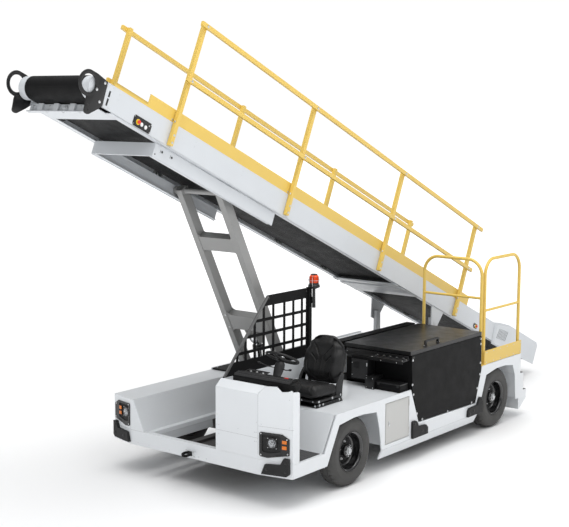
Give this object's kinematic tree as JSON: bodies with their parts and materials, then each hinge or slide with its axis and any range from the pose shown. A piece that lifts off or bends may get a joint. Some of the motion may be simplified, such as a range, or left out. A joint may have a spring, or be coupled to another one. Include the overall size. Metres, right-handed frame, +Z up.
{
  "type": "baggage belt loader",
  "caption": "Self-propelled airport baggage belt loader with a raised inclined conveyor, lift frame, folding handrails, driver's seat and battery box.",
  "frame": {"origin": "on the ground, in the middle of the overall length and width", "axes": "+X forwards, towards the conveyor's raised end; +Y to the left, the driver's side; +Z up"},
  "size_m": [7.8252, 2.192, 4.1229],
  "materials": {
    "body_paint": "satin",
    "conveyor_paint": "satin",
    "frame_paint": "satin",
    "lift_paint": "satin",
    "black_panel": "satin",
    "yellow_paint": "satin",
    "door_paint": "satin",
    "rod_steel": "polished",
    "cast": "rough",
    "rubber": "matte",
    "belt_rubber": "matte",
    "tyre": "matte",
    "rim_paint": "gloss",
    "seat_cover": "satin",
    "plastic": "matte",
    "lamp_housing": "satin",
    "amber": "gloss",
    "battery": "matte"
  },
  "bodies": {
    "chassis": {"main_frame": "frame_paint", "axles": "cast", "front_beam": "body_paint", "driver_pod": "body_paint", "driver_floor": "body_paint", "left_side": "body_paint", "right_body": "body_paint", "wheel_arches": "body_paint", "battery_box": "black_panel", "battery_pack": "battery", "console": "plastic", "deck": "black_panel", "rear_body": "body_paint", "towing_points": "black_panel", "rear_guard_rails": "yellow_paint", "conveyor_support": "frame_paint", "seat_suspension": "plastic", "seat_cushion": "seat_cover", "seat_back": "seat_cover", "steering": "plastic", "dash_cowl": "plastic", "mesh_guard": "black_panel", "beacon": "amber", "headlamps": "lamp_housing", "corner_guards": "rubber"},
    "battery_lid": {"battery_lid": "black_panel"},
    "locker_door": {"locker_door": "door_paint"},
    "knuckle_left": {"knuckle_left": "cast"},
    "knuckle_right": {"knuckle_right": "cast"},
    "wheel_front_left": {"tyre_front_left": "tyre", "rim_front_left": "rim_paint"},
    "wheel_front_right": {"tyre_front_right": "tyre", "rim_front_right": "rim_paint"},
    "wheel_rear_left": {"tyre_rear_left": "tyre", "rim_rear_left": "rim_paint"},
    "wheel_rear_right": {"tyre_rear_right": "tyre", "rim_rear_right": "rim_paint"},
    "conveyor": {"conveyor_sides": "conveyor_paint", "conveyor_bed": "conveyor_paint", "belt": "belt_rubber", "head_plates": "black_panel", "slide_track": "conveyor_paint", "toe_boards": "yellow_paint", "motor_cover": "conveyor_paint", "control_boxes": "plastic"},
    "lift_frame": {"lift_legs": "lift_paint", "lift_crossbars": "lift_paint"},
    "lift_barrel": {"lift_barrel": "black_panel"},
    "lift_rod": {"lift_rod": "rod_steel"},
    "post_left_1": {"post_left_1": "yellow_paint"},
    "post_left_2": {"post_left_2": "yellow_paint"},
    "post_left_3": {"post_left_3": "yellow_paint"},
    "post_left_4": {"post_left_4": "yellow_paint"},
    "rails_left": {"rails_left": "yellow_paint"},
    "post_right_1": {"post_right_1": "yellow_paint"},
    "post_right_2": {"post_right_2": "yellow_paint"},
    "post_right_3": {"post_right_3": "yellow_paint"},
    "post_right_4": {"post_right_4": "yellow_paint"},
    "rails_right": {"rails_right": "yellow_paint"}
  },
  "joints": [
    {"name": "steer_left", "type": "hinge", "parent": "chassis", "child": "knuckle_left", "pos_m": [1.51534, 0.88, 0.32], "axis": [0, 0, 1], "range_deg": [-30, 30]},
    {"name": "roll_front_left", "type": "hinge", "parent": "knuckle_left", "child": "wheel_front_left", "pos_m": [1.51534, 0.941, 0.32], "axis": [0, 1, 0], "continuous": true},
    {"name": "roll_rear_left", "type": "hinge", "parent": "chassis", "child": "wheel_rear_left", "pos_m": [-1.14666, 0.941, 0.32], "axis": [0, 1, 0], "continuous": true},
    {"name": "steer_right", "type": "hinge", "parent": "chassis", "child": "knuckle_right", "pos_m": [1.51534, -0.88, 0.32], "axis": [0, 0, 1], "range_deg": [-30, 30]},
    {"name": "roll_front_right", "type": "hinge", "parent": "knuckle_right", "child": "wheel_front_right", "pos_m": [1.51534, -0.941, 0.32], "axis": [0, 1, 0], "continuous": true},
    {"name": "roll_rear_right", "type": "hinge", "parent": "chassis", "child": "wheel_rear_right", "pos_m": [-1.14666, -0.941, 0.32], "axis": [0, 1, 0], "continuous": true},
    {"name": "conveyor_tilt", "type": "hinge", "parent": "chassis", "child": "conveyor", "pos_m": [-1.38466, -0.261, 1], "axis": [0, -1, 0], "range_deg": [-23.5, 1]},
    {"name": "lift_swing", "type": "hinge", "parent": "chassis", "child": "lift_frame", "pos_m": [0.89534, -0.261, 0.4], "axis": [0, -1, 0], "range_deg": [-46, 2.1]},
    {"name": "cylinder_swing", "type": "hinge", "parent": "chassis", "child": "lift_barrel", "pos_m": [1.15534, -0.261, 0.28], "axis": [0, -1, 0], "range_deg": [-46.2, 2.1]},
    {"name": "cylinder_stroke", "type": "slide", "parent": "lift_barrel", "child": "lift_rod", "axis": [0.1111, 0, 0.9938], "range_m": [-0.2245, 0.01]},
    {"name": "lid_hinge", "type": "hinge", "parent": "chassis", "child": "battery_lid", "pos_m": [-0.11966, 0.3, 1.05], "axis": [1, 0, 0], "range_deg": [0, 80]},
    {"name": "locker_hinge", "type": "hinge", "parent": "chassis", "child": "locker_door", "pos_m": [0.98534, 1.074, 0.4645], "axis": [0, 0, -1], "range_deg": [0, 100]},
    {"name": "fold_left_1", "type": "hinge", "parent": "conveyor", "child": "post_left_1", "pos_m": [2.92096, 0.181, 3.11154], "axis": [0, -1, 0], "range_deg": [0, 75]},
    {"name": "fold_left_2", "type": "hinge", "parent": "conveyor", "child": "post_left_2", "pos_m": [1.35918, 0.181, 2.42505], "axis": [0, -1, 0], "range_deg": [0, 75]},
    {"name": "fold_left_3", "type": "hinge", "parent": "conveyor", "child": "post_left_3", "pos_m": [-0.20261, 0.181, 1.73857], "axis": [0, -1, 0], "range_deg": [0, 75]},
    {"name": "fold_left_4", "type": "hinge", "parent": "conveyor", "child": "post_left_4", "pos_m": [-1.76439, 0.181, 1.05208], "axis": [0, -1, 0], "range_deg": [0, 75]},
    {"name": "rails_left_pin", "type": "hinge", "parent": "post_left_1", "child": "rails_left", "pos_m": [2.49684, 0.2165, 4.07644], "axis": [0, -1, 0], "range_deg": [-75, 0]},
    {"name": "fold_right_1", "type": "hinge", "parent": "conveyor", "child": "post_right_1", "pos_m": [2.92096, -0.703, 3.11154], "axis": [0, -1, 0], "range_deg": [0, 75]},
    {"name": "fold_right_2", "type": "hinge", "parent": "conveyor", "child": "post_right_2", "pos_m": [1.35918, -0.703, 2.42505], "axis": [0, -1, 0], "range_deg": [0, 75]},
    {"name": "fold_right_3", "type": "hinge", "parent": "conveyor", "child": "post_right_3", "pos_m": [-0.20261, -0.703, 1.73857], "axis": [0, -1, 0], "range_deg": [0, 75]},
    {"name": "fold_right_4", "type": "hinge", "parent": "conveyor", "child": "post_right_4", "pos_m": [-1.76439, -0.703, 1.05208], "axis": [0, -1, 0], "range_deg": [0, 75]},
    {"name": "rails_right_pin", "type": "hinge", "parent": "post_right_1", "child": "rails_right", "pos_m": [2.49684, -0.7385, 4.07644], "axis": [0, -1, 0], "range_deg": [-75, 0]}
  ],
  "couplings": [
    {"joint": "steer_right", "follows": "steer_left", "ratio": 1},
    {"joint": "lift_swing", "follows": "conveyor_tilt", "ratio": 1.9469},
    {"joint": "cylinder_swing", "follows": "conveyor_tilt", "ratio": 1.9529},
    {"joint": "cylinder_stroke", "follows": "conveyor_tilt", "m_per_rad": 0.54501},
    {"joint": "fold_left_2", "follows": "fold_left_1", "ratio": 1},
    {"joint": "fold_left_3", "follows": "fold_left_1", "ratio": 1},
    {"joint": "fold_left_4", "follows": "fold_left_1", "ratio": 1},
    {"joint": "rails_left_pin", "follows": "fold_left_1", "ratio": -1},
    {"joint": "fold_right_2", "follows": "fold_right_1", "ratio": 1},
    {"joint": "fold_right_3", "follows": "fold_right_1", "ratio": 1},
    {"joint": "fold_right_4", "follows": "fold_right_1", "ratio": 1},
    {"joint": "rails_right_pin", "follows": "fold_right_1", "ratio": -1}
  ]
}
